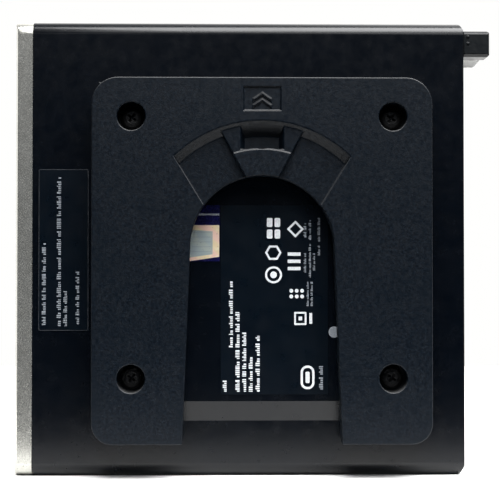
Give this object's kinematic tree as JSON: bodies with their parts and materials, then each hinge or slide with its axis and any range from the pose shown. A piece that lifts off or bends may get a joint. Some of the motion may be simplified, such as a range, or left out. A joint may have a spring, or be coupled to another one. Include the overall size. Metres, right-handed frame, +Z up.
{
  "type": "mini desktop computer",
  "caption": "Slim mini desktop computer standing on its side, with a quick-release mounting plate screwed to its underside.",
  "frame": {"origin": "centre of the object's bounding box, on the surface that its long side stands on", "axes": "+X towards the rear panel and thumbscrew, -X towards the front bezel; -Y towards the mounting plate on the underside, +Y towards the access panel; +Z up"},
  "size_m": [0.1868, 0.046, 0.177],
  "materials": {
    "black_steel": "satin black powder coat",
    "zinc_steel": "zinc plated, satin",
    "bare_steel": "bare stamped steel",
    "black_screw": "black oxide, satin",
    "silver_plastic": "satin silver paint on plastic",
    "black_plastic": "matt black",
    "charcoal_plastic": "fine moulded texture, charcoal",
    "dark_nylon": "matt dark grey",
    "clear_pipe": "clear, polished",
    "label_film": "glossy printed film",
    "seal_film": "iridescent foil film",
    "plated_shell": "nickel plated",
    "green_board": "solder mask over glass fibre",
    "brass": "turned brass",
    "aluminium": "extruded and milled",
    "processor_lid": "nickel plated copper, satin",
    "drive_shell": "cast and machined",
    "cell_steel": "nickel plated",
    "ferrite": "matt grey",
    "chip_resin": "moulded resin"
  },
  "bodies": {
    "case": {"base_pan": "black_steel", "rear_panel": "black_steel", "front_frame": "zinc_steel", "front_bezel": "silver_plastic", "front_insert": "black_plastic", "power_light": "clear_pipe", "drive_light": "clear_pipe", "power_switch": "dark_nylon", "mounting_plate": "charcoal_plastic", "mounting_screws": "black_screw", "mounting_nuts": "zinc_steel", "asset_label": "label_film", "rating_label": "label_film", "seal_sticker": "seal_film", "thumbscrew_nut": "zinc_steel", "system_board": "green_board", "board_posts": "brass", "board_screws": "zinc_steel", "front_usb_upper": "plated_shell", "front_usb_lower": "plated_shell", "front_usb_c": "plated_shell", "headset_jack": "black_plastic", "headphone_jack": "black_plastic", "video_port_upper": "plated_shell", "video_port_lower": "plated_shell", "option_cover": "black_steel", "option_screw": "zinc_steel", "power_inlet": "black_plastic", "inlet_light": "clear_pipe", "usb_stack_upper": "plated_shell", "usb_stack_lower": "plated_shell", "network_jack": "plated_shell", "antenna_plug": "black_plastic", "processor_socket": "dark_nylon", "processor": "processor_lid", "heat_sink": "aluminium", "heat_sink_screws": "zinc_steel", "fan_housing": "black_plastic", "fan_cover": "black_plastic", "fan_lead": "black_plastic", "memory_sockets": "dark_nylon", "memory_upper": "green_board", "memory_lower": "green_board", "solid_state_drive": "green_board", "drive_socket": "dark_nylon", "wireless_module": "green_board", "drive_cage": "zinc_steel", "disk_drive": "drive_shell", "coin_cell_holder": "dark_nylon", "coin_cell": "cell_steel", "speaker": "black_plastic", "inductors": "ferrite", "capacitors": "aluminium", "board_chips": "chip_resin"},
    "cover": {"access_panel": "black_steel", "padlock_loop": "bare_steel"},
    "screw_carriage": {"thumbscrew_retainer": "zinc_steel"},
    "thumbscrew_body": {"thumbscrew": "black_screw"},
    "button": {"power_button": "dark_nylon"},
    "impeller": {"fan_impeller": "dark_nylon"}
  },
  "joints": [
    {"name": "cover_lift", "type": "slide", "parent": "case", "child": "cover", "axis": [0, 1, 0], "range_m": [0, 0.04]},
    {"name": "thumbscrew_travel", "type": "slide", "parent": "case", "child": "screw_carriage", "axis": [1, 0, 0], "range_m": [0, 0.0035]},
    {"name": "thumbscrew_turn", "type": "hinge", "parent": "screw_carriage", "child": "thumbscrew_body", "pos_m": [0.08305, 0.0035, 0.17], "axis": [1, 0, 0], "range_deg": [0, 1800]},
    {"name": "power_button_press", "type": "slide", "parent": "case", "child": "button", "axis": [1, 0, 0], "range_m": [0, 0.0012], "stiffness_N_per_m": 500},
    {"name": "fan_spin", "type": "hinge", "parent": "case", "child": "impeller", "pos_m": [0.00935, 0.0085, 0.127], "axis": [0, 1, 0], "continuous": true}
  ],
  "couplings": [
    {"joint": "thumbscrew_turn", "follows": "thumbscrew_travel", "rad_per_m": 8975.9}
  ]
}
